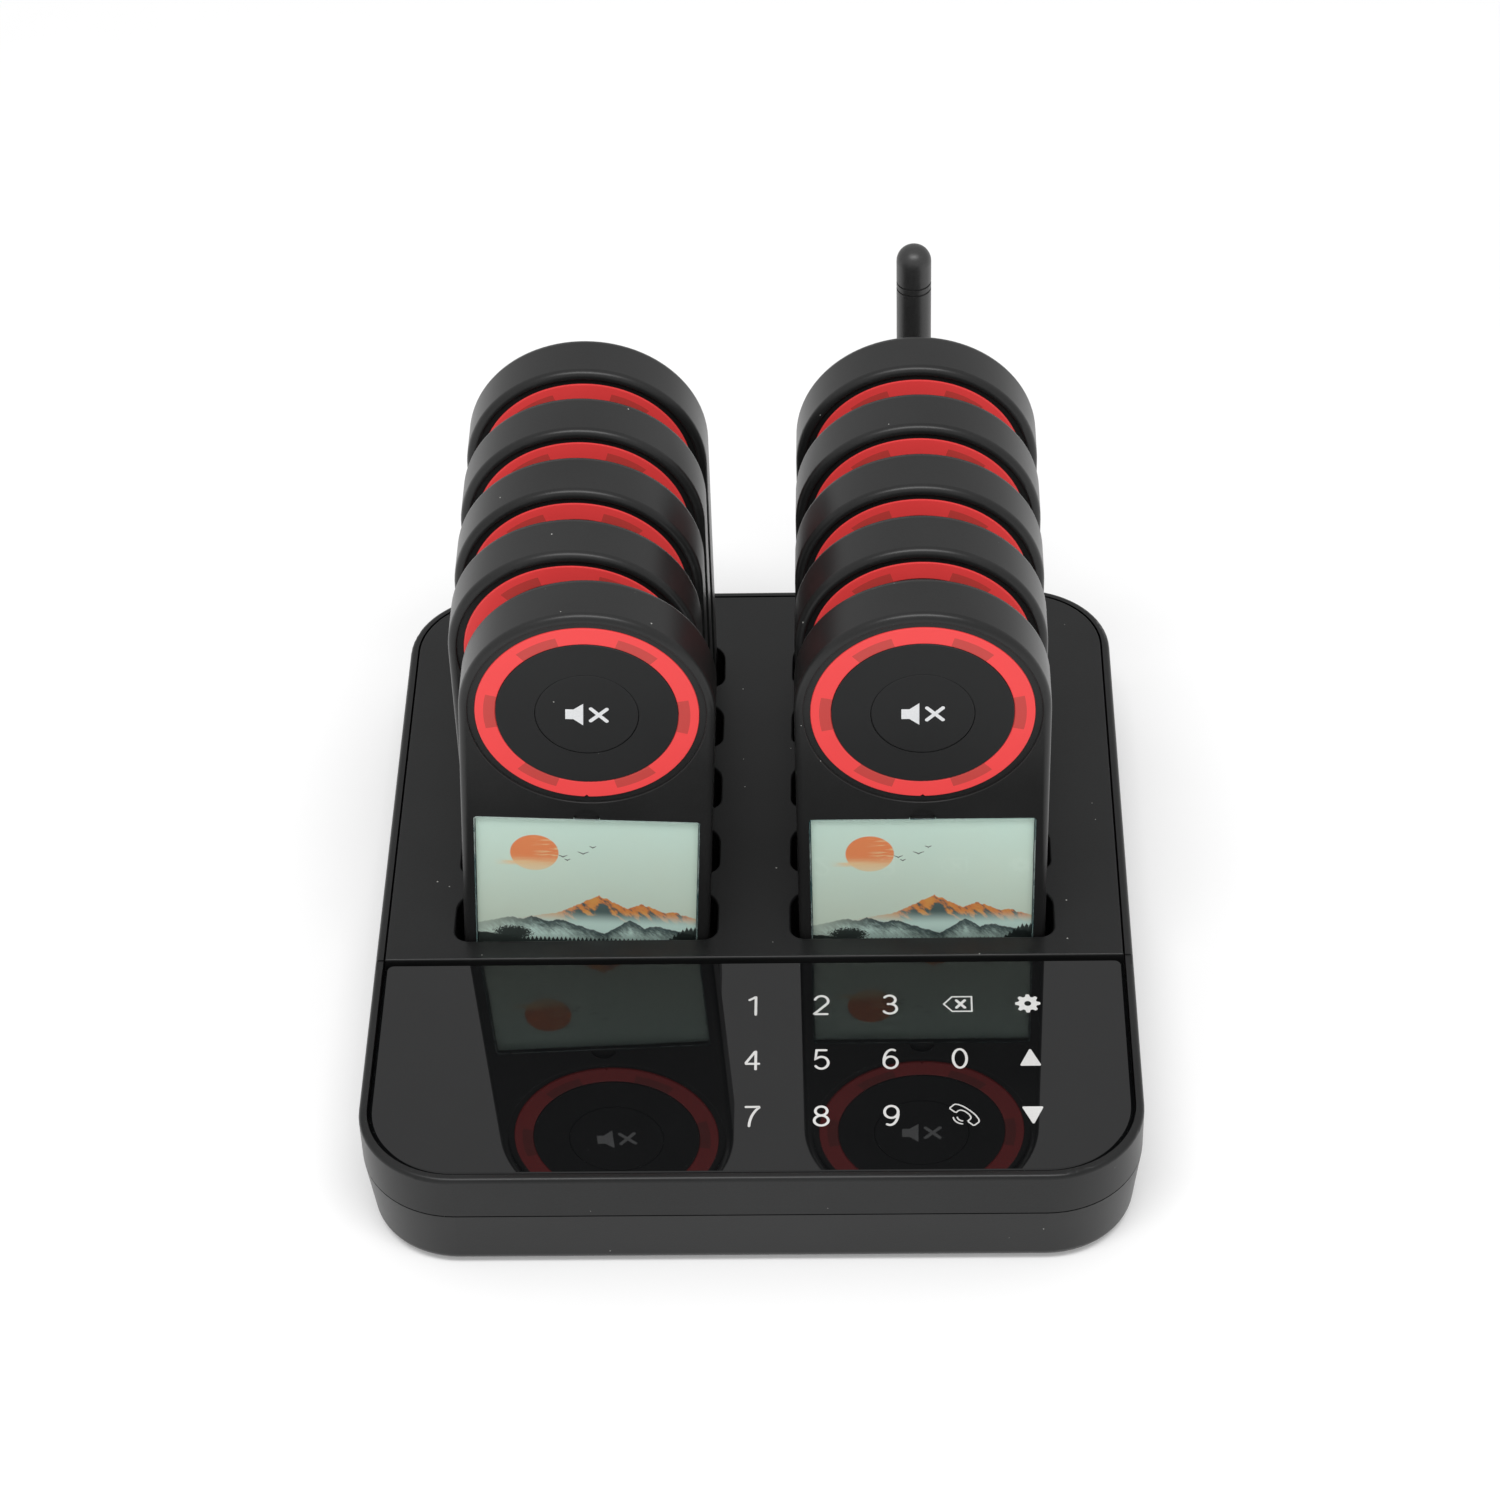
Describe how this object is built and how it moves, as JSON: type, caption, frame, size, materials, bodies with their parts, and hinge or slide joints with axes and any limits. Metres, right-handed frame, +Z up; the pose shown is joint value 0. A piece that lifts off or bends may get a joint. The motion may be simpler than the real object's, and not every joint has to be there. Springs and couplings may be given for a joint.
{
  "type": "guest pager set",
  "caption": "Table-top guest paging set: a charging base with touch keypad and folding antenna, and round-headed pagers standing in two columns of docking slots.",
  "frame": {"origin": "on the table, under the middle of the whole set with its antenna upright", "axes": "+X to the right seen from the keypad, +Y from the keypad towards the antenna, +Z up"},
  "size_m": [0.19, 0.2312, 0.1399],
  "materials": {
    "base_plastic": "fine satin grain",
    "well_plastic": "matte",
    "keypad_glass": "polished, black back print",
    "circuit_board": "solder mask",
    "gold_contact": "gold plated",
    "component_plastic": "matte",
    "foot_rubber": "matte",
    "screw_steel": "zinc plated",
    "plated_brass": "gold plated",
    "antenna_plastic": "satin",
    "pager_plastic": "soft-touch satin",
    "ring_red": "diffusing red",
    "window_clear": "clear polished cover",
    "card_print": "printed card",
    "battery_wrap": "foil pouch",
    "motor_steel": "bare"
  },
  "bodies": {
    "base": {"antenna_connector": "plated_brass", "base_buzzer": "component_plastic", "case_screws": "screw_steel", "charging_well_left": "well_plastic", "charging_well_right": "well_plastic", "connector_nut": "plated_brass", "contact_boards": "circuit_board", "glass_carrier": "base_plastic", "lower_shell": "base_plastic", "main_board": "circuit_board", "power_jack": "component_plastic", "rubber_feet": "foot_rubber", "slot_deck": "base_plastic", "spring_pins": "gold_contact", "touch_board": "circuit_board", "touch_glass": "keypad_glass", "upper_frame": "base_plastic"},
    "antenna_elbow": {"antenna_elbow": "antenna_plastic", "antenna_hinge_pin": "screw_steel"},
    "antenna_whip": {"antenna_whip": "antenna_plastic"},
    "pager_01": {"pager_01_battery": "battery_wrap", "pager_01_buzzer": "component_plastic", "pager_01_charge_contacts": "gold_contact", "pager_01_circuit_board": "circuit_board", "pager_01_display_window": "window_clear", "pager_01_face_disc": "pager_plastic", "pager_01_front_shell": "pager_plastic", "pager_01_light_ring": "ring_red", "pager_01_picture_card": "card_print", "pager_01_rear_shell": "pager_plastic", "pager_01_screws": "screw_steel", "pager_01_vibration_motor": "motor_steel"},
    "mute_button_01": {"pager_01_mute_button": "pager_plastic"},
    "pager_02": {"pager_02_case": "pager_plastic", "pager_02_light_ring": "ring_red"},
    "mute_button_02": {"pager_02_mute_button": "pager_plastic"},
    "pager_03": {"pager_03_case": "pager_plastic", "pager_03_light_ring": "ring_red"},
    "mute_button_03": {"pager_03_mute_button": "pager_plastic"},
    "pager_04": {"pager_04_case": "pager_plastic", "pager_04_light_ring": "ring_red"},
    "mute_button_04": {"pager_04_mute_button": "pager_plastic"},
    "pager_05": {"pager_05_case": "pager_plastic", "pager_05_light_ring": "ring_red"},
    "mute_button_05": {"pager_05_mute_button": "pager_plastic"},
    "pager_06": {"pager_06_case": "pager_plastic", "pager_06_light_ring": "ring_red"},
    "mute_button_06": {"pager_06_mute_button": "pager_plastic"},
    "pager_07": {"pager_07_case": "pager_plastic", "pager_07_light_ring": "ring_red"},
    "mute_button_07": {"pager_07_mute_button": "pager_plastic"},
    "pager_08": {"pager_08_case": "pager_plastic", "pager_08_light_ring": "ring_red"},
    "mute_button_08": {"pager_08_mute_button": "pager_plastic"},
    "pager_09": {"pager_09_case": "pager_plastic", "pager_09_light_ring": "ring_red"},
    "mute_button_09": {"pager_09_mute_button": "pager_plastic"},
    "pager_10": {"pager_10_case": "pager_plastic", "pager_10_light_ring": "ring_red"},
    "mute_button_10": {"pager_10_mute_button": "pager_plastic"}
  },
  "joints": [
    {"name": "antenna_swivel", "type": "hinge", "parent": "base", "child": "antenna_elbow", "pos_m": [0.04245, 0.1111, 0.0235], "axis": [0, 1, 0], "range_deg": [-90, 90]},
    {"name": "antenna_tilt", "type": "hinge", "parent": "antenna_elbow", "child": "antenna_whip", "pos_m": [0.04245, 0.1111, 0.0235], "axis": [-1, 0, 0], "range_deg": [0, 90]},
    {"name": "pager_01_lift", "type": "slide", "parent": "base", "child": "pager_01", "axis": [0, 0, 1], "range_m": [0, 0.13]},
    {"name": "mute_button_01_press", "type": "slide", "parent": "pager_01", "child": "mute_button_01", "axis": [0, 1, 0], "range_m": [0, 0.0004], "stiffness_N_per_m": 300},
    {"name": "pager_02_lift", "type": "slide", "parent": "base", "child": "pager_02", "axis": [0, 0, 1], "range_m": [0, 0.13]},
    {"name": "mute_button_02_press", "type": "slide", "parent": "pager_02", "child": "mute_button_02", "axis": [0, 1, 0], "range_m": [0, 0.0004], "stiffness_N_per_m": 300},
    {"name": "pager_03_lift", "type": "slide", "parent": "base", "child": "pager_03", "axis": [0, 0, 1], "range_m": [0, 0.13]},
    {"name": "mute_button_03_press", "type": "slide", "parent": "pager_03", "child": "mute_button_03", "axis": [0, 1, 0], "range_m": [0, 0.0004], "stiffness_N_per_m": 300},
    {"name": "pager_04_lift", "type": "slide", "parent": "base", "child": "pager_04", "axis": [0, 0, 1], "range_m": [0, 0.13]},
    {"name": "mute_button_04_press", "type": "slide", "parent": "pager_04", "child": "mute_button_04", "axis": [0, 1, 0], "range_m": [0, 0.0004], "stiffness_N_per_m": 300},
    {"name": "pager_05_lift", "type": "slide", "parent": "base", "child": "pager_05", "axis": [0, 0, 1], "range_m": [0, 0.13]},
    {"name": "mute_button_05_press", "type": "slide", "parent": "pager_05", "child": "mute_button_05", "axis": [0, 1, 0], "range_m": [0, 0.0004], "stiffness_N_per_m": 300},
    {"name": "pager_06_lift", "type": "slide", "parent": "base", "child": "pager_06", "axis": [0, 0, 1], "range_m": [0, 0.13]},
    {"name": "mute_button_06_press", "type": "slide", "parent": "pager_06", "child": "mute_button_06", "axis": [0, 1, 0], "range_m": [0, 0.0004], "stiffness_N_per_m": 300},
    {"name": "pager_07_lift", "type": "slide", "parent": "base", "child": "pager_07", "axis": [0, 0, 1], "range_m": [0, 0.13]},
    {"name": "mute_button_07_press", "type": "slide", "parent": "pager_07", "child": "mute_button_07", "axis": [0, 1, 0], "range_m": [0, 0.0004], "stiffness_N_per_m": 300},
    {"name": "pager_08_lift", "type": "slide", "parent": "base", "child": "pager_08", "axis": [0, 0, 1], "range_m": [0, 0.13]},
    {"name": "mute_button_08_press", "type": "slide", "parent": "pager_08", "child": "mute_button_08", "axis": [0, 1, 0], "range_m": [0, 0.0004], "stiffness_N_per_m": 300},
    {"name": "pager_09_lift", "type": "slide", "parent": "base", "child": "pager_09", "axis": [0, 0, 1], "range_m": [0, 0.13]},
    {"name": "mute_button_09_press", "type": "slide", "parent": "pager_09", "child": "mute_button_09", "axis": [0, 1, 0], "range_m": [0, 0.0004], "stiffness_N_per_m": 300},
    {"name": "pager_10_lift", "type": "slide", "parent": "base", "child": "pager_10", "axis": [0, 0, 1], "range_m": [0, 0.13]},
    {"name": "mute_button_10_press", "type": "slide", "parent": "pager_10", "child": "mute_button_10", "axis": [0, 1, 0], "range_m": [0, 0.0004], "stiffness_N_per_m": 300}
  ]
}
